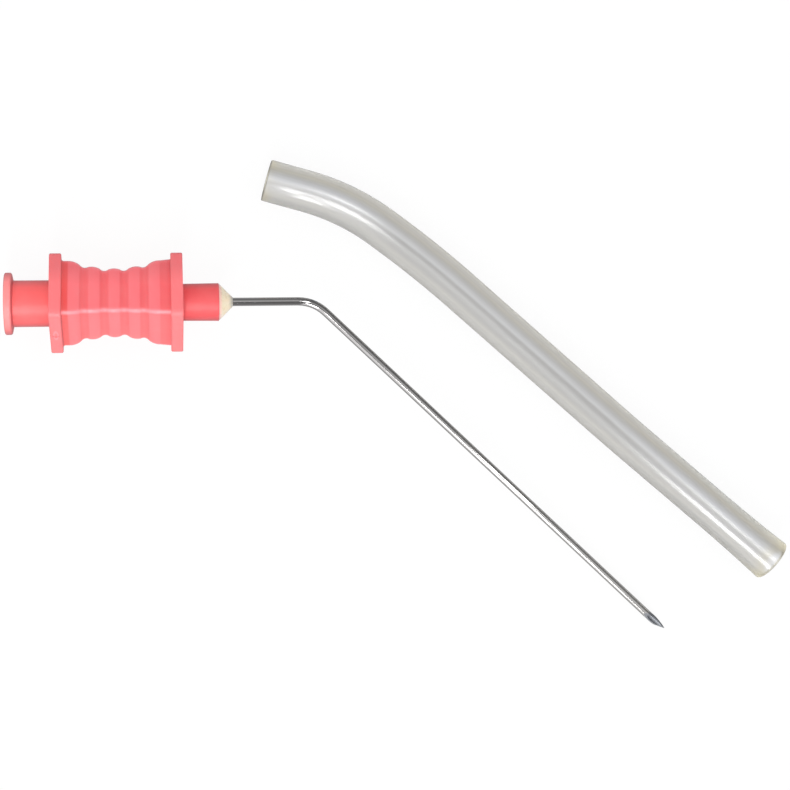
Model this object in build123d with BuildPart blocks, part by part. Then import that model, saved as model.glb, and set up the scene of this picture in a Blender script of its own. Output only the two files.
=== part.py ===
from build123d import *
from math import asin, atan2, cos, degrees, hypot, radians, sin, sqrt, tan
import os

# All sizes are in millimetres. The needle lies as it rests on a table: +X runs along the level
# hub from the mouth of its socket towards the point, and +Z is up. The origin is the centre of
# the socket's mouth.

# Luer end of the hub
luer_flange_d = 7.8
luer_flange_crest = 0.86
luer_flange_flank = 0.22
luer_edge_chamfer = 0.12
socket_mouth_d = 4.3
socket_taper = 0.06
socket_depth = 9.6

# Rear barrel, which carries the luer flange and holds the socket
rear_barrel_length = 5.6
rear_barrel_d = 5.84

# Square grip with its two flanges, its waist and its ribs
grip_flange_side = 9.5
grip_flange_thickness = 1.5
grip_flange_corner = 0.8
grip_flange_edge = 0.12
grip_body_length = 13.55
grip_body_corner = 0.36
grip_turn = 12.3
waist_half_side = 3.13
waist_radius = 20.4
rib_count = 5
rib_width = 1.44
rear_land_length = 0.80
front_land_length = 1.35
front_land_rise = 0.10
rib_rise = 0.10
groove_sink = 0.15
root_fillet = 0.3
gate_mark_d = 0.9
gate_mark_depth = 0.08

# Front barrel, with the well that the cannula is glued into
front_barrel_length = 4.55
front_barrel_root_d = 4.69
front_barrel_end_d = 4.79
front_barrel_edge = 0.06
well_depth = 4.0
well_d = 3.1

# Cannula of 19 gauge tube, bent once and ground to a lancet point
cannula_od = 1.07
cannula_id = 0.69
cannula_play = 0.02
cannula_recess = 0.3
bend_from_hub = 12.1
bend_angle = 43.6
bend_radius = 5.1
leg_length = 65.1
bevel_length = 4.0
bevel_roll = 25.5
lancet_turn = 55
short_lancet_length = 1.8
long_lancet_length = 3.2

# Cone of adhesive around the cannula, at 45 degrees
cone_slope = 45
cone_lip = 0.05

# Protective tube, soft and slipped off, lying beside the needle
sheath_od = 5.4
sheath_id = 3.0
sheath_bell_od = 5.9
sheath_bell_length = 11.0
sheath_edge = 0.1
sheath_start = (33.1, 15.6)
sheath_heading = -15.6
sheath_runs = (10.8, 12.8, 34.3, 26.9)
sheath_turns = (-20.8, -5.1, 0.9)
sheath_radii = (30, 130, 300)

# Places along the hub, from the mouth of the socket
grip_start = rear_barrel_length
body_start = grip_start + grip_flange_thickness
body_end = body_start + grip_body_length
grip_end = body_end + grip_flange_thickness
hub_end = grip_end + front_barrel_length
bend_x = hub_end + bend_from_hub

# The grip is turned about the hub's axis, so that one corner is nearly on top
along_hub = Vector(1, 0, 0)
face_angle = radians(45 + grip_turn)
upper_face = Vector(0, -sin(face_angle), cos(face_angle))
side_face = Vector(0, cos(face_angle), sin(face_angle))
flange_half = grip_flange_side / 2

# The hub rests on the lowest corners of its square flanges
corner_reach = (flange_half - grip_flange_corner) * sqrt(2)
rest_height = corner_reach * cos(radians(grip_turn)) + grip_flange_corner

# The ribs are spread evenly between the lands at the body's ends, and the waist is narrowest
# at the middle one
first_rib = body_start + rear_land_length + rib_width / 2
last_rib = body_end - front_land_length - rib_width / 2
rib_pitch = (last_rib - first_rib) / (rib_count - 1)
waist_middle = (first_rib + last_rib) / 2
rib_middles = [first_rib + i * rib_pitch for i in range(rib_count)]
rib_edges = [(x - rib_width / 2, x + rib_width / 2) for x in rib_middles]


def ribbed_outline(spread=1.0, trim=0.0):
    """Draw half the side view of the grip's body, its heights times spread and less trim."""

    def waist(x):
        hollow = waist_radius - sqrt(waist_radius**2 - (x - waist_middle) ** 2)
        return (x, (waist_half_side + hollow) * spread - trim)

    rear_land, front_land = waist(rib_edges[0][0]), waist(rib_edges[-1][1])
    foot = (body_start, rear_land[1] + root_fillet)
    toe = (body_start + root_fillet, rear_land[1])
    Line((body_start, 0), foot)
    RadiusArc(foot, toe, -root_fillet)
    Line(toe, rear_land)
    for rear, front in rib_edges:
        SagittaArc(waist(rear), waist(front), rib_rise * spread)
    for (_, rear), (front, _) in zip(rib_edges, rib_edges[1:]):
        SagittaArc(waist(rear), waist(front), -groove_sink * spread)
    land_end = (body_end, front_land[1] + front_land_rise * spread)
    Line(front_land, land_end)
    Line(land_end, (body_end, 0))
    Line((body_end, 0), (body_start, 0))


with BuildPart() as grip_flange:
    # One square flange of the grip with its rims eased, before it is set in its two places
    with BuildSketch(Plane(origin=(0, 0, 0), x_dir=side_face, z_dir=along_hub)):
        RectangleRounded(grip_flange_side, grip_flange_side, grip_flange_corner)
    extrude(amount=grip_flange_thickness)
    chamfer(grip_flange.faces().filter_by(Axis.X).edges(), length=grip_flange_edge)

with BuildPart() as hub:
    # Ribbed body: its side view extruded across the hub both ways, kept where the two cross
    with BuildSketch(Plane(origin=(0, 0, 0), x_dir=along_hub, z_dir=upper_face)) as seen_from_above:
        with BuildLine():
            ribbed_outline()
        make_face()
        mirror(about=Plane.XZ)
    extrude(amount=flange_half, both=True)
    with BuildSketch(Plane(origin=(0, 0, 0), x_dir=along_hub, z_dir=side_face)) as seen_from_side:
        with BuildLine():
            ribbed_outline()
        make_face()
        mirror(about=Plane.XZ)
    extrude(amount=flange_half, both=True, mode=Mode.INTERSECT)

    # The body's long corners are turned off to narrow lands
    with BuildSketch() as corner_turning:
        with BuildLine():
            ribbed_outline(spread=sqrt(2), trim=grip_body_corner / 2)
        make_face()
    revolve(axis=Axis.X, mode=Mode.INTERSECT)

    # Square flanges, with the scar of the gate on the rear one's rim
    with Locations((grip_start, 0, 0), (body_end, 0, 0)):
        add(grip_flange.part)
    gate_place = upper_face * flange_half + along_hub * (grip_start + grip_flange_thickness / 2)
    with BuildSketch(Plane(origin=gate_place, x_dir=along_hub, z_dir=upper_face)):
        Circle(gate_mark_d / 2)
    extrude(amount=-gate_mark_depth, mode=Mode.SUBTRACT)

    # Luer flange, rear barrel and front barrel in one turned outline
    with BuildSketch() as turned:
        with BuildLine():
            Polyline(
                (0, 0),
                (0, luer_flange_d / 2),
                (luer_flange_crest, luer_flange_d / 2),
                (luer_flange_crest + luer_flange_flank, rear_barrel_d / 2),
                (body_start, rear_barrel_d / 2),
                (body_start, 0),
                close=True,
            )
        make_face()
        with BuildLine():
            Polyline(
                (body_end, 0),
                (body_end, front_barrel_root_d / 2),
                (grip_end, front_barrel_root_d / 2),
                (hub_end, front_barrel_end_d / 2),
                (hub_end, 0),
                close=True,
            )
        make_face()
        flange_edge = turned.vertices().filter_by(lambda v: v.Y > luer_flange_d / 2 - 0.01)
        chamfer(flange_edge, length=luer_edge_chamfer)
        barrel_edge = turned.vertices().filter_by(lambda v: v.X > hub_end - 0.01 and v.Y > 0.01)
        chamfer(barrel_edge, length=front_barrel_edge)
    revolve(axis=Axis.X)

    # Tapered socket, funnel, cannula bore and glue well, cut along the whole hub
    socket_mouth = socket_mouth_d / 2
    socket_floor = socket_mouth - socket_taper * socket_depth / 2
    bore = cannula_od / 2 + cannula_play
    funnel_end = socket_depth + socket_floor - bore
    with BuildSketch() as bores:
        with BuildLine():
            Polyline(
                (0, 0),
                (0, socket_mouth),
                (socket_depth, socket_floor),
                (funnel_end, bore),
                (hub_end - well_depth, bore),
                (hub_end - well_depth, well_d / 2),
                (hub_end, well_d / 2),
                (hub_end, 0),
                close=True,
            )
        make_face()
    revolve(axis=Axis.X, mode=Mode.SUBTRACT)

# The leg leaves the hub's axis by the bend's angle and dips until its point touches the table
point_radius = cannula_od / 2
point_drop = point_radius * cos(radians(bevel_roll))
leg_dip = asin(rest_height / hypot(leg_length, point_drop)) - atan2(point_drop, leg_length)
bend = radians(bend_angle)
leg = Vector(cos(bend), -sqrt(sin(bend) ** 2 - sin(leg_dip) ** 2), -sin(leg_dip))
cannula_start = Vector(funnel_end + cannula_recess, 0, 0)
bend_corner = Vector(bend_x, 0, 0)
leg_end = bend_corner + leg * leg_length

# The bevel looks up from the table, rolled a little about the leg
across_leg = leg.cross(Vector(0, 0, 1)).normalized()
above_leg = across_leg.cross(leg)
roll = radians(bevel_roll)
bevel_up = above_leg * cos(roll) + across_leg * sin(roll)
bevel_side = leg.cross(bevel_up)
point = leg_end - bevel_up * point_radius


def grind(turn, length_to_flank):
    """Plane through the point that leaves the tube's flank at the given length behind it."""
    facing = bevel_up * cos(turn) + bevel_side * sin(turn)
    slope = (cos(turn) + abs(sin(turn))) * point_radius / length_to_flank
    return Plane(origin=point, x_dir=leg.cross(facing), z_dir=facing + leg * slope)


with BuildPart() as cannula:
    with BuildLine() as cannula_route:
        FilletPolyline(cannula_start, bend_corner, leg_end, radius=bend_radius)
    with BuildSketch(Plane(origin=cannula_start, z_dir=along_hub)):
        Circle(point_radius)
        Circle(cannula_id / 2, mode=Mode.SUBTRACT)
    sweep(path=cannula_route.line)

    # Primary bevel, which faces straight up the bevel's own axis, and two lancet grinds, of which
    # the one on the far side runs further back
    lancet = radians(lancet_turn)
    near_side, far_side = grind(lancet, short_lancet_length), grind(-lancet, long_lancet_length)
    for face in (grind(0, bevel_length / 2), near_side, far_side):
        with BuildSketch(face):
            Rectangle(4 * cannula_od, 3 * bevel_length)
        extrude(amount=4 * cannula_od, mode=Mode.SUBTRACT)

with BuildPart() as adhesive_cone:
    # Filled well inside the barrel and the cone that stands out of it
    cone_foot = front_barrel_end_d / 2 - front_barrel_edge
    cone_top = point_radius + cone_lip
    cone_end = hub_end + (cone_foot - cone_top) / tan(radians(cone_slope))
    with BuildSketch() as poured:
        with BuildLine():
            Polyline(
                (hub_end - well_depth, point_radius),
                (hub_end - well_depth, well_d / 2),
                (hub_end, well_d / 2),
                (hub_end, cone_foot),
                (cone_end, cone_top),
                (cone_end, point_radius),
                close=True,
            )
        make_face()
    revolve(axis=Axis.X)

# The sheath's route, as the runs and turns of the tube in the plane that it lies in
route = [Vector(0, 0)]
heading = radians(sheath_heading)
for run, turn in zip(sheath_runs, (*sheath_turns, 0)):
    route.append(route[-1] + Vector(cos(heading), sin(heading)) * run)
    heading += radians(turn)
far_end = route[-1]

# That plane rises a little towards the far end, because the wider mouth rests on the table too
bell_opening = (sheath_bell_od - sheath_od) / 2
slope = far_end * (bell_opening / far_end.length**2)
lay = Plane(
    origin=(*sheath_start, sheath_od / 2 - rest_height),
    x_dir=(1, 0, slope.X),
    z_dir=(-slope.X, -slope.Y, 1),
)

with BuildPart() as sheath:
    # Tube along the route, up to where it begins to open out
    bell_start = far_end + (route[-2] - far_end).normalized() * sheath_bell_length
    with BuildLine(lay) as sheath_route:
        FilletPolyline(*[(p.X, p.Y) for p in (*route[:-1], bell_start)], radius=sheath_radii)
    with BuildSketch(Plane(origin=sheath_route.line @ 0, z_dir=sheath_route.line % 0)):
        Circle(sheath_od / 2)
        Circle(sheath_id / 2, mode=Mode.SUBTRACT)
    sweep(path=sheath_route.line)

    # Last stretch, opened out evenly with its wall kept
    bell_axis = sheath_route.line % 1
    bell_plane = Plane(origin=sheath_route.line @ 1, x_dir=bell_axis, z_dir=lay.z_dir)
    with BuildSketch(bell_plane) as bell:
        with BuildLine():
            for radius in (sheath_id / 2, sheath_od / 2):
                bell_end = (sheath_bell_length, radius + bell_opening)
                Bezier((0, radius), (sheath_bell_length / 2, radius), bell_end)
            Line((0, sheath_id / 2), (0, sheath_od / 2))
            Line((sheath_bell_length, sheath_id / 2 + bell_opening), (sheath_bell_length, sheath_bell_od / 2))
        make_face()
    revolve(axis=Axis(origin=sheath_route.line @ 1, direction=bell_axis))

    # Both cut ends are eased
    cut_rims = sheath.edges().filter_by(GeomType.CIRCLE)
    near_end = cut_rims.filter_by(lambda edge: (edge.arc_center - sheath_route.line @ 0).length < sheath_edge)
    mouth = sheath_route.line @ 1 + bell_axis * sheath_bell_length
    far_rims = cut_rims.filter_by(lambda edge: (edge.arc_center - mouth).length < sheath_edge)
    chamfer(near_end + far_rims, length=sheath_edge)

os.makedirs("parts", exist_ok=True)
pieces = {"hub": hub, "adhesive_cone": adhesive_cone, "cannula": cannula, "sheath": sheath}
for name, piece in pieces.items():
    piece.part.label = name
    export_step(piece.part, f"parts/{name}.step")

print("rest height", round(rest_height, 3), "leg dip", round(degrees(leg_dip), 2))
print("point", [round(c, 3) for c in point], "cone end", round(cone_end, 2))
print("sheath radii", sheath_radii, "length", round(sheath_route.wire().length + sheath_bell_length, 2))
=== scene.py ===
from math import atan, atan2, cos, radians, sin, tan

import bpy
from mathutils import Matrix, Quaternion, Vector


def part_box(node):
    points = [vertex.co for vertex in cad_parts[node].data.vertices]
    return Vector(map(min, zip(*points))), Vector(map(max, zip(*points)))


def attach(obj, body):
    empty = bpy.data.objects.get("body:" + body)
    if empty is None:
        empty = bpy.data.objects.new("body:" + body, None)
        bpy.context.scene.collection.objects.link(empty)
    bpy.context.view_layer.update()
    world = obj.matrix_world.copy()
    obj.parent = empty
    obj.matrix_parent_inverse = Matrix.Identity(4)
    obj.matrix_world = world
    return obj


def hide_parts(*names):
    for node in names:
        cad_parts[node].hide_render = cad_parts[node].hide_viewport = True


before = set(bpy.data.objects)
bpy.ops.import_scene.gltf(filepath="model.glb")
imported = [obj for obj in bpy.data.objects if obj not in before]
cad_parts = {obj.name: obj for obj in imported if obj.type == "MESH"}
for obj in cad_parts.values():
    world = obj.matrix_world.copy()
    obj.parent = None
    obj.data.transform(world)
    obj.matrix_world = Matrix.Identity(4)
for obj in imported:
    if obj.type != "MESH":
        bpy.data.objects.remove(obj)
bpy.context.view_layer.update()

# Camera. It looks straight down on the table from arm's length, a few degrees off the vertical,
# with a long lens, so that the needle lies flat across the picture.
PICTURE_WIDTH = 790
FOCAL_PIXELS = 2041
SENSOR_WIDTH = 36
CAMERA_PLACE = (0.01818, 0.00053, 0.260)
CAMERA_TURN = (radians(-2.767), radians(-6.784), radians(-0.487))
bpy.ops.object.camera_add(location=CAMERA_PLACE)
camera = bpy.context.object
camera.name = "top_camera"
camera.rotation_mode = "ZXY"
camera.rotation_euler = CAMERA_TURN
camera.data.sensor_width = SENSOR_WIDTH
camera.data.lens = SENSOR_WIDTH * FOCAL_PIXELS / PICTURE_WIDTH
camera.data.clip_start = 0.01
scene = bpy.context.scene
scene.camera = camera
scene.view_settings.view_transform = "Standard"

# Table. A sheet of white board, much larger than the needle, that the hub, the point and the
# sheath rest on. It shows white to the camera and through clear vinyl, greyer in gloss and steel,
# and it keeps a faint shadow.
BOARD_SIDE = 3.0
BOARD_MIDDLE = (0.05, 0)
BOARD_WHITE = (0.9, 0.9, 0.9, 1)
BOARD_SHADOW_SHARE = 0.08
BOARD_IN_GLOSS = 0.55


def place(tree, kind, inputs=None, **settings):
    """Add a node with its settings, and set or link each of the inputs that are given."""
    node = tree.nodes.new(kind)
    for name, value in settings.items():
        setattr(node, name, value)
    for name, value in (inputs or {}).items():
        if isinstance(value, bpy.types.NodeSocket):
            tree.links.new(value, node.inputs[name])
        else:
            node.inputs[name].default_value = value
    return node


def sum_up(tree, operation, first, second=0.0, clamp=False):
    """Work out one value from two, and return the socket that holds it."""
    inputs = {0: first, 1: second}
    return place(tree, "ShaderNodeMath", inputs, operation=operation, use_clamp=clamp).outputs[0]


def mixed(tree, share, first, second):
    """Mix two values by a share from 0 to 1."""
    inputs = {"Factor": share, "A": first, "B": second}
    return place(tree, "ShaderNodeMix", inputs).outputs["Result"]


table_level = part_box("hub")[0].z
bpy.ops.object.select_all(action="DESELECT")
bpy.ops.mesh.primitive_plane_add(size=BOARD_SIDE, location=(*BOARD_MIDDLE, table_level))
table = bpy.context.object
table.name = "table"
bpy.ops.object.transform_apply(location=True, rotation=True, scale=True)
board = bpy.data.materials.new("white_board")
board.use_nodes = True
tree = board.node_tree
tree.nodes.clear()
path = place(tree, "ShaderNodeLightPath")
seen = sum_up(tree, "MAXIMUM", path.outputs["Is Camera Ray"], path.outputs["Is Glossy Ray"])
seen = sum_up(tree, "MAXIMUM", seen, path.outputs["Is Transmission Ray"])
glow_share = sum_up(tree, "MULTIPLY", seen, 1 - BOARD_SHADOW_SHARE)
strength = mixed(tree, path.outputs["Is Glossy Ray"], 1.0, BOARD_IN_GLOSS)
strength = mixed(tree, path.outputs["Is Transmission Ray"], strength, 1.0)
paper = place(tree, "ShaderNodeBsdfDiffuse", {"Color": BOARD_WHITE})
glow = place(tree, "ShaderNodeEmission", {"Color": (1, 1, 1, 1), "Strength": strength})
inputs = {"Fac": glow_share, 1: paper.outputs[0], 2: glow.outputs[0]}
paper_and_glow = place(tree, "ShaderNodeMixShader", inputs)
place(tree, "ShaderNodeOutputMaterial", {"Surface": paper_and_glow.outputs[0]})
table.data.materials.append(board)

# Light. A tent of white cloth lights the needle evenly. In gloss and steel it shows brighter cloth
# towards the lower left, darker cloth towards the upper right, and the dark slot for the lens. Four
# softboxes hang in it, and the clear vinyl and the steel mirror them as white streaks.
TENT_LIGHT = 0.90
THROUGH_LIGHT = 0.82
BRIGHT_SIDE = (-0.68, -0.73, 0)
CLOTH_STOPS = (
    (0.0, 0.20), (0.12, 0.26), (0.25, 0.46), (0.36, 0.80), (0.50, 0.95), (0.65, 1.15), (0.82, 1.5)
)
LENS_SLOT_MIDDLE = 0.06
LENS_SLOT_SIDE = (0.11, 0.035)
LENS_SLOT_END = (0.09, 0.03)
LENS_SLOT_DARK = 0.8


def eased(tree, value, start, end):
    """Rise smoothly from 0 to 1 while a value goes from its start to its end."""
    inputs = {"Value": value, "From Min": start, "From Max": end}
    kind = "ShaderNodeMapRange"
    return place(tree, kind, inputs, interpolation_type="SMOOTHSTEP").outputs["Result"]


def rising(tree, value, start, end, top=1.0):
    """Rise evenly from 0 to the top while a value goes from its start to its end."""
    inputs = {"Value": value, "From Min": start, "From Max": end, "To Max": top}
    return place(tree, "ShaderNodeMapRange", inputs).outputs["Result"]


def fill_ramp(ramp, stops):
    """Give a colour ramp its stops, each of a position and a colour."""
    while len(ramp.elements) < len(stops):
        ramp.elements.new(0.5)
    for element, (position, colour) in zip(ramp.elements, stops, strict=True):
        element.position = position
        element.color = (*colour, 1)


tent = bpy.data.worlds.new("light_tent")
scene.world = tent
tent.use_nodes = True
tree = tent.node_tree
tree.nodes.clear()
path = place(tree, "ShaderNodeLightPath")
towards = place(tree, "ShaderNodeTexCoord").outputs["Generated"]
inputs = {0: towards, 1: BRIGHT_SIDE}
side = place(tree, "ShaderNodeVectorMath", inputs, operation="DOT_PRODUCT").outputs["Value"]
cloth = place(tree, "ShaderNodeValToRGB", {"Fac": rising(tree, side, -1.0, 1.0)})
fill_ramp(cloth.color_ramp, [(where, (level, level, level)) for where, level in CLOTH_STOPS])
axes = place(tree, "ShaderNodeSeparateXYZ", {0: towards})
from_slot = sum_up(tree, "ABSOLUTE", sum_up(tree, "SUBTRACT", axes.outputs["X"], LENS_SLOT_MIDDLE))
across_slot = eased(tree, from_slot, *LENS_SLOT_SIDE)
along_slot = eased(tree, axes.outputs["Y"], *LENS_SLOT_END)
slot = sum_up(tree, "MULTIPLY", sum_up(tree, "MULTIPLY", across_slot, along_slot), LENS_SLOT_DARK)
mirrored = sum_up(tree, "MULTIPLY", cloth.outputs["Color"], sum_up(tree, "SUBTRACT", 1.0, slot))
level = mixed(tree, path.outputs["Is Glossy Ray"], TENT_LIGHT, mirrored)
level = mixed(tree, path.outputs["Is Transmission Ray"], level, THROUGH_LIGHT)
level = mixed(tree, path.outputs["Is Camera Ray"], level, 1.0)
walls = place(tree, "ShaderNodeBackground", {"Color": (1, 1, 1, 1), "Strength": level})
place(tree, "ShaderNodeOutputWorld", {"Surface": walls.outputs[0]})


def hang_softbox(name, middle, aim, width, length, power):
    """Hang a rectangular softbox whose long side runs away from the point that it is aimed at."""
    bpy.ops.object.light_add(type="AREA", location=middle)
    softbox = bpy.context.object
    softbox.name = name
    softbox.data.shape = "RECTANGLE"
    softbox.data.size = width
    softbox.data.size_y = length
    softbox.data.energy = power
    softbox.rotation_mode = "QUATERNION"
    softbox.rotation_quaternion = (Vector(middle) - Vector(aim)).to_track_quat("Z", "Y")
    softbox.visible_transmission = False


hang_softbox("near_softbox", (-0.004, -0.114, 0.30), (0.036, -0.007, 0), 0.038, 0.126, 0.184)
hang_softbox("far_softbox", (-0.054, -0.568, 0.60), (0.203, -0.111, 0), 0.120, 0.300, 1.36)
hang_softbox("left_strip", (0.094, 0.071, 0.30), (0.045, -0.029, 0), 0.024, 0.066, 0.042)
hang_softbox("right_strip", (0.192, -0.058, 0.30), (0.112, -0.149, 0), 0.024, 0.080, 0.050)

# Hub. One injection moulding of translucent pink plastic: the luer flange, the rear barrel, the
# square grip with five ribs across its waist, and the front barrel. The grooves between the ribs
# and the land beside the rear flange have painted shade, the turned corners a painted highlight
# line, the grip's faces painted light and shade, and the gate left a small oval mark.
MM = 0.001
THIN_AND_LIT_PINK = (0.97, 0.275, 0.275, 1)
BARREL_PINK = (0.92, 0.132, 0.134, 1)
RIM_PINK = (0.96, 0.190, 0.205, 1)
# The land and groove pinks are painted shade, and the pale corner pink is a painted highlight on
# the corners as well as the gate ring's own colour
LAND_SHADE_PINK = (0.86, 0.088, 0.085, 1)
GROOVE_SHADE_PINK = (0.89, 0.126, 0.140, 1)
RIB_PINK = (0.95, 0.176, 0.200, 1)
FRONT_PINK = (0.78, 0.082, 0.092, 1)
HIGHLIGHT_AND_GATE_PINK = (1.0, 0.42, 0.47, 1)
SHADE_PINK = (0.48, 0.085, 0.098, 1)
# Stretches of the hub along its axis, in millimetres from the luer socket's mouth
LUER_FLANGE_END = 1.0
REAR_BARREL = (0.9, 5.5)
GRIP = (5.6, 22.15)
REAR_FLANGE = (5.5, 7.12)
REAR_LAND = (7.1, 7.88)
BODY = (7.1, 20.65)
RIBBED = (7.68, 19.54)
FRONT_FLANGE = (20.64, 22.3)
FRONT_BARREL_START = 22.2
FIRST_RIB = 8.62
RIB_PITCH = 2.49
RIB_HALF = 0.70
GRIP_TURN = 12.3
CORNER_HALF = 0.34
CORNER_HIGHLIGHT_SHARE = 0.6
GATE_PLACE = (6.35, -3.997, 2.566)
GATE_NARROWING = (1.9, 0.62, 0.62)
GATE_RING = (0.34, 0.65)
GATE_SHARE = 0.5
CLOUDY_SHARE = 0.14
LIT_LOWER_FACE = (-0.2, -2.0, 0.23)
SHADED_UPPER_EDGE = (2.4, 4.6, 0.36)
ROUND_SHADE = (0.28, 0.80)
SQUARE_SHADE = (0.46, 0.95)
SHADE_SHARE = 0.9


def finish_for(name, roughness=0.5, metallic=0.0):
    """Start a material, and return it with its node tree and its shader."""
    material = bpy.data.materials.new(name)
    material.use_nodes = True
    shader = material.node_tree.nodes["Principled BSDF"]
    shader.inputs["Roughness"].default_value = roughness
    shader.inputs["Metallic"].default_value = metallic
    return material, material.node_tree, shader


def millimetres(tree, turned=(0, 0, 0)):
    """Give the place on the piece in millimetres, turned about the hub's axis if asked."""
    spot = place(tree, "ShaderNodeTexCoord").outputs["Object"]
    inputs = {"Vector": spot, "Scale": (1 / MM, 1 / MM, 1 / MM), "Rotation": turned}
    return place(tree, "ShaderNodeMapping", inputs).outputs["Vector"]


def above(tree, value, limit, soft):
    """Give 1 where the value is above a limit, with a soft edge, and 0 elsewhere."""
    return eased(tree, value, limit - soft, limit + soft)


def below(tree, value, limit, soft):
    """Give 1 where the value is below a limit, with a soft edge, and 0 elsewhere."""
    return eased(tree, value, limit + soft, limit - soft)


def between(tree, value, low, high, soft):
    """Give 1 where the value lies between two limits, with soft edges, and 0 elsewhere."""
    return sum_up(tree, "MULTIPLY", above(tree, value, low, soft), below(tree, value, high, soft))


def tinted(tree, share, first, second):
    """Mix two colours by a mask."""
    mix = tree.nodes.new("ShaderNodeMix")
    mix.data_type = "RGBA"
    for name, value in (("Factor", share), ("A", first), ("B", second)):
        socket = next(s for s in mix.inputs if s.name == name and s.enabled)
        if isinstance(value, bpy.types.NodeSocket):
            tree.links.new(value, socket)
        else:
            socket.default_value = value
    return next(s for s in mix.outputs if s.enabled)


def grain_group():
    """Build the node group for the fine unevenness of moulded, poured and drawn surfaces."""
    group = bpy.data.node_groups.new("surface_grain", "ShaderNodeTree")
    group.interface.new_socket("Place", in_out="INPUT", socket_type="NodeSocketVector")
    for name in ("Fineness", "Low", "High"):
        group.interface.new_socket(name, in_out="INPUT", socket_type="NodeSocketFloat")
    group.interface.new_socket("Level", in_out="OUTPUT", socket_type="NodeSocketFloat")
    given = place(group, "NodeGroupInput").outputs
    inputs = {"Vector": given["Place"], "Scale": given["Fineness"], "Detail": 3.0}
    noise = place(group, "ShaderNodeTexNoise", inputs).outputs["Fac"]
    inputs = {"Value": noise, "From Min": 0.3, "From Max": 0.7}
    inputs.update({"To Min": given["Low"], "To Max": given["High"]})
    level = place(group, "ShaderNodeMapRange", inputs).outputs["Result"]
    place(group, "NodeGroupOutput", {"Level": level})
    return group


SURFACE_GRAIN = grain_group()


def grain(tree, spot, fineness, low, high):
    """Place the shared grain in a material, and return its level between two values."""
    inputs = {"Place": spot, "Fineness": fineness, "Low": low, "High": high}
    return place(tree, "ShaderNodeGroup", inputs, node_tree=SURFACE_GRAIN).outputs["Level"]


def roughen(tree, shader, height, depth):
    """Raise the surface by a height pattern, up to a depth in metres."""
    bump = place(tree, "ShaderNodeBump", {"Height": height, "Distance": depth, "Strength": 1.0})
    tree.links.new(bump.outputs["Normal"], shader.inputs["Normal"])


def soften(shader, weight, reach, scale):
    """Let light wander under the surface, by a reach for each colour times a scale in metres."""
    shader.inputs["Subsurface Weight"].default_value = weight
    shader.inputs["Subsurface Radius"].default_value = reach
    shader.inputs["Subsurface Scale"].default_value = scale


def dress(name, material):
    """Give a CAD node its material."""
    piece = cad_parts[name]
    piece.data.materials.clear()
    piece.data.materials.append(material)


pink, tree, shader = finish_for("moulded_pink")
spot = millimetres(tree)
axes = place(tree, "ShaderNodeSeparateXYZ", {0: spot})
along, sideways = axes.outputs["X"], axes.outputs["Y"]

# Ribs and grooves, the grooves darker as painted shade, then the plain stretches from the land to
# the luer flange, the land darker as painted shade
steps = sum_up(tree, "DIVIDE", sum_up(tree, "SUBTRACT", along, FIRST_RIB), RIB_PITCH)
steps = place(tree, "ShaderNodeMath", {0: steps, 1: 0.5, 2: -0.5}, operation="WRAP").outputs[0]
from_rib = sum_up(tree, "MULTIPLY", steps, RIB_PITCH)
near_rib = between(tree, from_rib, -RIB_HALF, RIB_HALF, soft=0.13)
on_ribbed = between(tree, along, *RIBBED, soft=0.02)
on_rib = sum_up(tree, "MULTIPLY", near_rib, on_ribbed)
colour = tinted(tree, on_rib, GROOVE_SHADE_PINK, RIB_PINK)
# Painted shade on the land, the recess beside the rear flange
colour = tinted(tree, between(tree, along, *REAR_LAND, soft=0.04), colour, LAND_SHADE_PINK)
on_rear = between(tree, along, *REAR_FLANGE, soft=0.02)
on_front = between(tree, along, *FRONT_FLANGE, soft=0.02)
colour = tinted(tree, sum_up(tree, "ADD", on_rear, on_front, clamp=True), colour, RIM_PINK)
colour = tinted(tree, between(tree, along, *REAR_BARREL, soft=0.1), colour, BARREL_PINK)
colour = tinted(tree, above(tree, along, FRONT_BARREL_START, soft=0.05), colour, FRONT_PINK)
colour = tinted(tree, below(tree, along, LUER_FLANGE_END, soft=0.1), colour, THIN_AND_LIT_PINK)

# A painted highlight: the pale line along the turned corners, which are where the grip's two faces
# are equally far out
turned = millimetres(tree, turned=(radians(-45 - GRIP_TURN), 0, 0))
faces = place(tree, "ShaderNodeSeparateXYZ", {0: turned})
first_face = sum_up(tree, "ABSOLUTE", faces.outputs["Y"])
second_face = sum_up(tree, "ABSOLUTE", faces.outputs["Z"])
to_corner = sum_up(tree, "ABSOLUTE", sum_up(tree, "SUBTRACT", first_face, second_face))
corner_highlight = below(tree, to_corner, CORNER_HALF, soft=CORNER_HALF)
corner_highlight = sum_up(tree, "MULTIPLY", corner_highlight, between(tree, along, *BODY, soft=0.02))
corner_highlight = sum_up(tree, "MULTIPLY", corner_highlight, CORNER_HIGHLIGHT_SHARE)
colour = tinted(tree, corner_highlight, colour, HIGHLIGHT_AND_GATE_PINK)

# The gate's oval ring, and the cloudiness of the moulding
inputs = {0: spot, 1: GATE_PLACE}
from_gate = place(tree, "ShaderNodeVectorMath", inputs, operation="SUBTRACT").outputs[0]
inputs = {0: from_gate, 1: GATE_NARROWING}
from_gate = place(tree, "ShaderNodeVectorMath", inputs, operation="MULTIPLY").outputs[0]
inputs = {0: from_gate}
from_gate = place(tree, "ShaderNodeVectorMath", inputs, operation="LENGTH").outputs["Value"]
on_gate = sum_up(tree, "MULTIPLY", between(tree, from_gate, *GATE_RING, soft=0.1), GATE_SHARE)
colour = tinted(tree, on_gate, colour, HIGHLIGHT_AND_GATE_PINK)
cloudy = grain(tree, spot, fineness=0.35, low=0.0, high=CLOUDY_SHARE)
colour = tinted(tree, cloudy, colour, THIN_AND_LIT_PINK)
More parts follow.
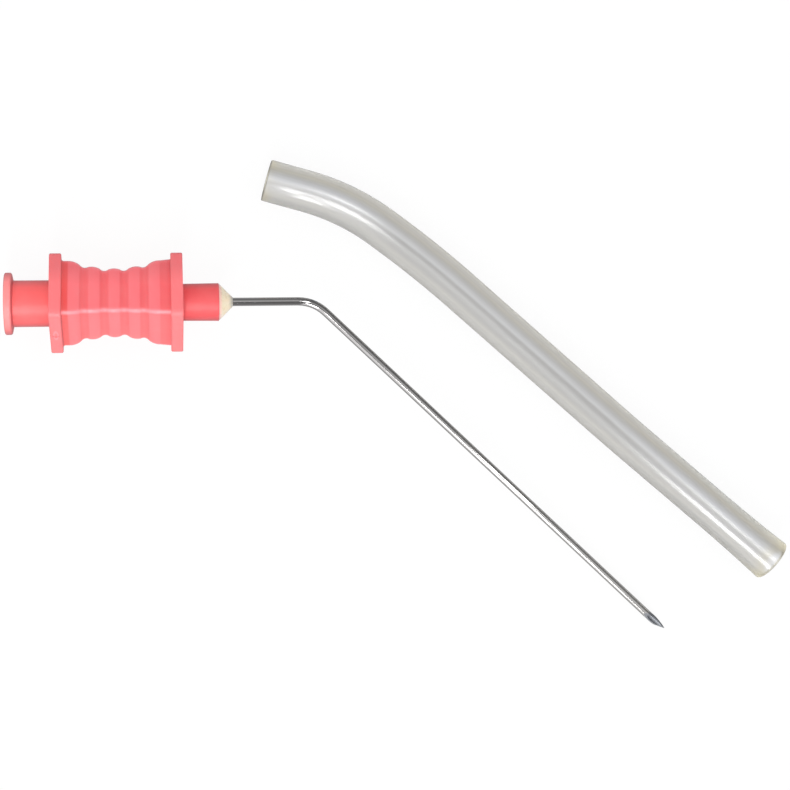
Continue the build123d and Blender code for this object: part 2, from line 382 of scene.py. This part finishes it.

# Painted light and shade: paler on the grip's lower faces as if lit more, and darker at its upper
# edges and where the sides turn away from the view
on_square = between(tree, along, *GRIP, soft=0.05)
painted_lit_lower_face = sum_up(tree, "MULTIPLY", rising(tree, sideways, *LIT_LOWER_FACE), on_square)
colour = tinted(tree, painted_lit_lower_face, colour, THIN_AND_LIT_PINK)
facing = place(tree, "ShaderNodeLayerWeight", {"Blend": 0.5}).outputs["Facing"]
shade_start = mixed(tree, on_square, ROUND_SHADE[0], SQUARE_SHADE[0])
shade_end = mixed(tree, on_square, ROUND_SHADE[1], SQUARE_SHADE[1])
colour = tinted(tree, rising(tree, facing, shade_start, shade_end, SHADE_SHARE), colour, SHADE_PINK)
painted_shaded_upper_edge = sum_up(tree, "MULTIPLY", rising(tree, sideways, *SHADED_UPPER_EDGE), on_square)
colour = tinted(tree, painted_shaded_upper_edge, colour, SHADE_PINK)
tree.links.new(colour, shader.inputs["Base Color"])
roughness = grain(tree, spot, fineness=2.5, low=0.34, high=0.44)
tree.links.new(roughness, shader.inputs["Roughness"])
roughen(tree, shader, grain(tree, spot, fineness=5.0, low=0.0, high=1.0), depth=0.004 * MM)
soften(shader, weight=0.2, reach=(1.0, 0.35, 0.3), scale=0.8 * MM)
dress("hub", pink)

# Adhesive cone. Cream epoxy, poured into the glue well around the cannula. It stands out of the
# front barrel as a 45 degree cone, the pink of the barrel shows through at its foot, and the steel
# shows through at its thin lip.
HUB_END = 26.7
BLUSH_LENGTH = 0.22
LIP_START = 1.45
CREAM = (0.78, 0.65, 0.46, 1)
PALE_CREAM = (0.83, 0.73, 0.58, 1)
BLUSH = (1.0, 0.52, 0.48, 1)
THIN_LIP = (0.44, 0.41, 0.36, 1)
epoxy, tree, shader = finish_for("poured_epoxy")
spot = millimetres(tree)
along = place(tree, "ShaderNodeSeparateXYZ", {0: spot}).outputs["X"]
cloudy = grain(tree, spot, fineness=0.8, low=0.0, high=1.0)
colour = tinted(tree, cloudy, CREAM, PALE_CREAM)
colour = tinted(tree, below(tree, along, HUB_END + BLUSH_LENGTH, soft=0.3), colour, BLUSH)
colour = tinted(tree, above(tree, along, HUB_END + LIP_START, soft=0.3), colour, THIN_LIP)
tree.links.new(colour, shader.inputs["Base Color"])
roughness = grain(tree, spot, fineness=2.0, low=0.22, high=0.38)
tree.links.new(roughness, shader.inputs["Roughness"])
roughen(tree, shader, grain(tree, spot, fineness=1.6, low=0.0, high=1.0), depth=0.01 * MM)
soften(shader, weight=0.3, reach=(1.0, 0.7, 0.45), scale=0.8 * MM)
dress("adhesive_cone", epoxy)

# Cannula. Drawn stainless tube, 19 gauge, glued into the hub, bent once, and ground to a lancet
# point. Its straight is painted darker than its leg, and the leg painted brighter towards the
# point, as painted reflection; the bore has painted shade; the ground facets are darker and rougher
# than the drawn outside.
BEND_X = 38.8
BRIGHTENING_LENGTH = 36
LEG = Vector((0.7242, -0.6839, -0.0887)).normalized()
POINT = Vector((86.071, -44.324, -6.258))
TUBE_RADIUS = 0.535
BORE_RADIUS = 0.345
BEVEL_LENGTH = 4.0
BEVEL_ROLL = radians(25.5)
STEEL = (0.50, 0.49, 0.48, 1)
DIMMER_REFLECTION_STEEL = (0.42, 0.41, 0.41, 1)
GROUND_STEEL = (0.27, 0.28, 0.30, 1)
BORE_SHADE_STEEL = (0.24, 0.25, 0.27, 1)
DRAWN_FINENESS = 0.3
DRAWN_ROUGHNESS = (0.055, 0.070)
GRINDING_ROUGHNESS = 0.40
steel, tree, shader = finish_for("drawn_steel", metallic=1.0)
spot = millimetres(tree)
along = place(tree, "ShaderNodeSeparateXYZ", {0: spot}).outputs["X"]
# Painted reflection: darker along the straight, brighter along the leg towards the point
brighter_reflection = rising(tree, along, BEND_X, BEND_X + BRIGHTENING_LENGTH)
colour = tinted(tree, brighter_reflection, DIMMER_REFLECTION_STEEL, STEEL)

# The facets are what lies inside the tube's wall near the point
across_leg = LEG.cross(Vector((0, 0, 1))).normalized()
above_leg = across_leg.cross(LEG)
bevel_up = above_leg * cos(BEVEL_ROLL) + across_leg * sin(BEVEL_ROLL)
bevel_foot = POINT + bevel_up * TUBE_RADIUS
inputs = {0: spot, 1: bevel_foot}
from_point = place(tree, "ShaderNodeVectorMath", inputs, operation="SUBTRACT").outputs[0]
inputs = {0: from_point, 1: LEG}
behind = place(tree, "ShaderNodeVectorMath", inputs, operation="DOT_PRODUCT").outputs["Value"]
off_axis = place(tree, "ShaderNodeVectorMath", inputs, operation="CROSS_PRODUCT").outputs[0]
inputs = {0: off_axis}
off_axis = place(tree, "ShaderNodeVectorMath", inputs, operation="LENGTH").outputs["Value"]
near_point = above(tree, behind, -BEVEL_LENGTH - 0.3, soft=0.02)
inside_wall = below(tree, off_axis, TUBE_RADIUS - 0.02, soft=0.008)
on_facet = sum_up(tree, "MULTIPLY", near_point, inside_wall)
colour = tinted(tree, on_facet, colour, GROUND_STEEL)
# Painted shade inside the bore
shaded_bore = below(tree, off_axis, BORE_RADIUS + 0.008, soft=0.006)
colour = tinted(tree, shaded_bore, colour, BORE_SHADE_STEEL)
tree.links.new(colour, shader.inputs["Base Color"])
roughness = grain(tree, spot, DRAWN_FINENESS, *DRAWN_ROUGHNESS)
ground = sum_up(tree, "MULTIPLY", on_facet, GRINDING_ROUGHNESS)
tree.links.new(sum_up(tree, "ADD", roughness, ground), shader.inputs["Roughness"])
dress("cannula", steel)

# Sheath. Clear soft vinyl tube, extruded, cut square at both ends and opened out a little at the
# far one. It was slipped off the needle and keeps the needle's bend. Bands of painted highlight,
# reflection and shade run along it, stronger at its glossy ends than in its middle, which is rubbed
# dull, and its cut ends look a little yellow.
SHEATH_START = (33.1 * MM, 15.6 * MM)
SHEATH_HEADING = radians(-15.6)
SHEATH_RUNS = (10.8 * MM, 12.8 * MM, 34.3 * MM, 26.9 * MM)
SHEATH_TURNS = (radians(-20.8), radians(-5.1), radians(0.9))
SHEATH_RADII = (30 * MM, 130 * MM, 300 * MM)
SHEATH_OUTSIDE = 2.7 * MM
SHEATH_INSIDE = 1.5 * MM
BELL_LENGTH = 11 * MM
BELL_OPENING = 0.25 * MM
BELL_STEPS = 10
SHEATH_SIDES = 96
ARC_STEP = radians(0.9)
LEAST_ARC_STEPS = 4
RIM_ROUNDING = 0.16 * MM
RIM_STEPS = 4
SAME_PLACE = 0.001 * MM
SMOOTH_ANGLE = radians(30)
VINYL_INDEX = 1.53
VINYL_CLEARNESS = 0.60
VINYL = (VINYL_CLEARNESS, VINYL_CLEARNESS, VINYL_CLEARNESS, 1)
YELLOWED_VINYL = (0.86, 0.76, 0.46, 1)
CUT_VINYL = (0.50, 0.46, 0.30, 1)
CUT_GLOW = (0.90, 0.84, 0.62, 1)
CUT_GLOW_STRENGTH = 0.5
VINYL_ROUGHNESS = 0.34
GLOSS_ROUGHNESS = 0.13
BORE_ROUGHNESS = 0.05
CUT_ROUGHNESS = 0.35
DULL_START = (47, 4)
DULL_END = (84, 9)
YELLOW_DEPTH = (0.9, 0.8)
YELLOW_SIDES = (0.35, 0.8)
YELLOW_SHARE = 0.55
GREEN_SHARE = 0.25
# Places round the tube are parts of a right angle from its top. Each line is a place, how much more
# or less light is painted there, brighter bands being painted highlights and reflections and darker
# ones painted shade, and how yellow that is
LOWER_HALF = 1.05
MIDDLE_PAINTED_LIGHT = (
    (-1.0, 1.60, 0.18), (-0.66, 1.52, 0.18), (-0.54, 1.13, 0.16), (-0.42, 0.73, 0.12),
    (-0.33, 0.54, 0.06), (-0.22, 0.73, 0.02), (-0.13, 1.00, -0.02), (-0.06, 1.18, -0.02),
    (0.04, 0.62, 0.04), (0.17, 0.65, 0.03), (0.27, 0.72, 0.05), (0.42, 0.83, 0.07),
    (0.54, 1.10, 0.10), (0.62, 1.33, 0.10), (0.78, 1.37, 0.10)
)
END_PAINTED_LIGHT = (
    (-1.0, 1.60, 0.16), (-0.70, 1.60, 0.16), (-0.54, 1.12, 0.20), (-0.42, 0.72, 0.20),
    (-0.34, 0.56, 0.10), (-0.27, 0.70, 0.02), (-0.17, 1.00, -0.06), (-0.09, 1.35, -0.08),
    (-0.03, 1.60, -0.04), (0.02, 1.45, 0.0), (0.08, 1.10, 0.0), (0.14, 0.96, 0.0),
    (0.35, 0.96, 0.08), (0.78, 1.1, 0.10)
)


def vinyl_finish(name, roughness, colour):
    """Start a clear vinyl material, and return it with its node tree and its shader."""
    material, tree, shader = finish_for(name, roughness)
    shader.inputs["Transmission Weight"].default_value = 1
    shader.inputs["IOR"].default_value = VINYL_INDEX
    shader.inputs["Base Color"].default_value = colour
    return material, tree, shader


def painted_light_round_tube(tree, round_top, lines):
    """Give the vinyl's colour round the tube, with bands of painted light and shade along it."""
    stops = []
    for where, level, yellow in lines:
        clear = VINYL_CLEARNESS * level
        colour = (clear, clear * (1 - GREEN_SHARE * yellow), clear * (1 - yellow))
        stops.append(((where + 1) / 2, colour))
    ramp = place(tree, "ShaderNodeValToRGB", {"Fac": round_top})
    ramp.color_ramp.interpolation = "EASE"
    fill_ramp(ramp.color_ramp, stops)
    return ramp.outputs["Color"]


vinyl, tree, shader = vinyl_finish("clear_vinyl", VINYL_ROUGHNESS, VINYL)
around = place(tree, "ShaderNodeAttribute", attribute_name="around").outputs["Fac"]
from_cut = place(tree, "ShaderNodeAttribute", attribute_name="from_cut").outputs["Fac"]
along = place(tree, "ShaderNodeSeparateXYZ", {0: millimetres(tree)}).outputs["X"]
past_start = above(tree, along, *DULL_START)
before_end = below(tree, along, *DULL_END)
dull = sum_up(tree, "MULTIPLY", past_start, before_end)
round_top = rising(tree, around, -1.0, 1.0)
# Painted highlights, reflections and shade round the tube, stronger at the glossy ends than in the
# dull middle
end_painted_light = painted_light_round_tube(tree, round_top, END_PAINTED_LIGHT)
middle_painted_light = painted_light_round_tube(tree, round_top, MIDDLE_PAINTED_LIGHT)
colour = tinted(tree, dull, end_painted_light, middle_painted_light)
off_top = sum_up(tree, "ABSOLUTE", around)
colour = tinted(tree, sum_up(tree, "GREATER_THAN", off_top, LOWER_HALF), colour, VINYL)
at_cut = below(tree, from_cut, *YELLOW_DEPTH)
at_cut = sum_up(tree, "MULTIPLY", at_cut, rising(tree, off_top, *YELLOW_SIDES))
at_cut = sum_up(tree, "MULTIPLY", at_cut, YELLOW_SHARE)
colour = tinted(tree, at_cut, colour, YELLOWED_VINYL)
tree.links.new(colour, shader.inputs["Base Color"])
tree.links.new(sum_up(tree, "SUBTRACT", 1.0, dull), shader.inputs["Coat Weight"])
shader.inputs["Coat Roughness"].default_value = GLOSS_ROUGHNESS

# The bore's wall adds no colour of its own, and the cut has a painted glow where it is seen from
# inside, through the wall
bore, tree, shader = vinyl_finish("clear_vinyl_bore", BORE_ROUGHNESS, (1, 1, 1, 1))
cut, tree, shader = vinyl_finish("cut_vinyl", CUT_ROUGHNESS, CUT_VINYL)
seen_inside = place(tree, "ShaderNodeNewGeometry").outputs["Backfacing"]
shader.inputs["Emission Color"].default_value = CUT_GLOW
cut_glow = sum_up(tree, "MULTIPLY", seen_inside, CUT_GLOW_STRENGTH)
tree.links.new(cut_glow, shader.inputs["Emission Strength"])


def ahead_of(heading):
    """Give the level direction of a heading."""
    return Vector((cos(heading), sin(heading), 0))


def extrude_by(step):
    """Extrude what is selected along a step."""
    bpy.ops.mesh.extrude_region_move(TRANSFORM_OT_translate={"value": step})


def select_where(piece, test):
    """Select, in edit mode, the edges whose two ends both pass a test."""
    bpy.ops.object.mode_set(mode="OBJECT")
    mesh = piece.data
    picked = [test(vertex.co) for vertex in mesh.vertices]
    for face in mesh.polygons:
        face.select = False
    for vertex in mesh.vertices:
        vertex.select = picked[vertex.index]
    for edge in mesh.edges:
        edge.select = picked[edge.vertices[0]] and picked[edge.vertices[1]]
    bpy.ops.object.mode_set(mode="EDIT")
    bpy.ops.mesh.select_mode(type="EDGE")


def lay_wall(name, radius, material):
    """Sweep one wall of the sheath along its route, as an open tube lying flat at the origin.

    Returns the wall, and the places and headings that its rings have.
    """
    spot, heading = Vector((0, 0, 0)), SHEATH_HEADING
    bpy.ops.object.select_all(action="DESELECT")
    bpy.ops.mesh.primitive_circle_add(
        vertices=SHEATH_SIDES, radius=radius, location=spot, rotation=(0, radians(90), heading)
    )
    wall = bpy.context.object
    wall.name = name
    wall.data.materials.append(material)
    bpy.ops.object.transform_apply(location=True, rotation=True, scale=True)
    stations = [(spot, heading)]
    bpy.ops.object.mode_set(mode="EDIT")
    bpy.ops.mesh.select_all(action="SELECT")
    used = 0.0
    for run, turn, bend in zip(SHEATH_RUNS, (*SHEATH_TURNS, 0), (*SHEATH_RADII, 0), strict=True):
        tangent = bend * tan(abs(turn) / 2)
        straight = run - used - (tangent if turn else BELL_LENGTH)
        used = tangent
        ahead = ahead_of(heading)
        extrude_by(ahead * straight)
        spot = spot + ahead * straight
        stations.append((spot, heading))
        if turn:
            left = Vector((-ahead.y, ahead.x, 0)) * (1 if turn > 0 else -1)
            centre = spot + left * bend
            steps = max(LEAST_ARC_STEPS, round(abs(turn) / ARC_STEP))
            bpy.ops.mesh.spin(steps=steps, angle=-turn, center=centre, axis=(0, 0, 1))
            for step in range(1, steps + 1):
                swung = centre + Quaternion((0, 0, 1), turn * step / steps) @ (spot - centre)
                stations.append((swung, heading + turn * step / steps))
            spot, heading = stations[-1]
    size = radius
    for step in range(1, BELL_STEPS + 1):
        wider = radius + BELL_OPENING * (step / BELL_STEPS) ** 2
        ahead = ahead_of(heading)
        extrude_by(ahead * BELL_LENGTH / BELL_STEPS)
        spot = spot + ahead * BELL_LENGTH / BELL_STEPS
        stations.append((spot, heading))
        grow = wider / size
        bpy.ops.transform.resize(value=(grow, grow, grow), center_override=spot)
        size = wider
    bpy.ops.object.mode_set(mode="OBJECT")
    return wall, stations


inner, stations = lay_wall("sheath_bore", SHEATH_INSIDE, bore)
sheath, stations = lay_wall("sheath_tube", SHEATH_OUTSIDE, vinyl)
inner.select_set(True)
bpy.ops.object.join()
sheath.data.materials.append(cut)
sheath.active_material_index = len(sheath.data.materials) - 1

# Each cut is closed by drawing the outer wall's rim in to the bore's, and both rims are rounded
tail, first_heading = stations[0]
mouth, last_heading = stations[-1]
first_ahead = ahead_of(first_heading)
last_ahead = ahead_of(last_heading)


def on_first_cut(co):
    """Tell whether a place lies on the cut at the near end."""
    return abs(co.dot(first_ahead)) < SAME_PLACE and co.length < 2 * SHEATH_OUTSIDE


def on_last_cut(co):
    """Tell whether a place lies on the cut at the far end."""
    off = co - mouth
    return abs(off.dot(last_ahead)) < SAME_PLACE and off.length < 2 * SHEATH_OUTSIDE


for on_cut, centre, opening in ((on_first_cut, tail, 0.0), (on_last_cut, mouth, BELL_OPENING)):
    halfway = (SHEATH_OUTSIDE + SHEATH_INSIDE) / 2 + opening
    shrink = (SHEATH_INSIDE + opening) / (SHEATH_OUTSIDE + opening)
    select_where(sheath, lambda co: on_cut(co) and (co - centre).length > halfway)
    bpy.ops.mesh.extrude_region_move()
    bpy.ops.transform.resize(value=(shrink, shrink, shrink), center_override=centre)
    bpy.ops.mesh.select_all(action="SELECT")
    bpy.ops.mesh.remove_doubles(threshold=SAME_PLACE)
    select_where(sheath, on_cut)
    bpy.ops.object.material_slot_assign()
bpy.ops.mesh.select_all(action="SELECT")
bpy.ops.mesh.normals_make_consistent(inside=False)
for on_cut in (on_first_cut, on_last_cut):
    select_where(sheath, on_cut)
    bpy.ops.mesh.region_to_loop()
    bpy.ops.mesh.bevel(offset=RIM_ROUNDING, segments=RIM_STEPS, profile=0.5, affect="EDGES")
bpy.ops.mesh.select_all(action="SELECT")
bpy.ops.mesh.normals_make_consistent(inside=False)
bpy.ops.object.mode_set(mode="OBJECT")

# Where each point lies round the tube and how deep behind the nearer cut, for the vinyl to read
for name in ("around", "from_cut"):
    sheath.data.attributes.new(name, "FLOAT", "POINT")
angles = sheath.data.attributes["around"].data
depths = sheath.data.attributes["from_cut"].data
for vertex, angle, depth in zip(sheath.data.vertices, angles, depths, strict=True):
    spot, heading = min(stations, key=lambda station: (vertex.co - station[0]).length_squared)
    right = Vector((sin(heading), -cos(heading), 0))
    angle.value = atan2((vertex.co - spot).dot(right), vertex.co.z) / radians(90)
    depth.value = min(vertex.co.dot(first_ahead), (mouth - vertex.co).dot(last_ahead)) / MM

# The opened end lies on the table too, so the tube is tipped up a little from its near end
slope = atan(BELL_OPENING / mouth.length)
sheath.rotation_mode = "QUATERNION"
sheath.rotation_quaternion = Quaternion(Vector((mouth.y, -mouth.x, 0)).normalized(), slope)
sheath.location = (*SHEATH_START, table_level + SHEATH_OUTSIDE)
bpy.ops.object.select_all(action="DESELECT")
sheath.select_set(True)
bpy.context.view_layer.objects.active = sheath
bpy.ops.object.transform_apply(location=True, rotation=True, scale=True)
bpy.ops.object.shade_smooth_by_angle(angle=SMOOTH_ANGLE)
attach(sheath, "root")
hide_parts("sheath")
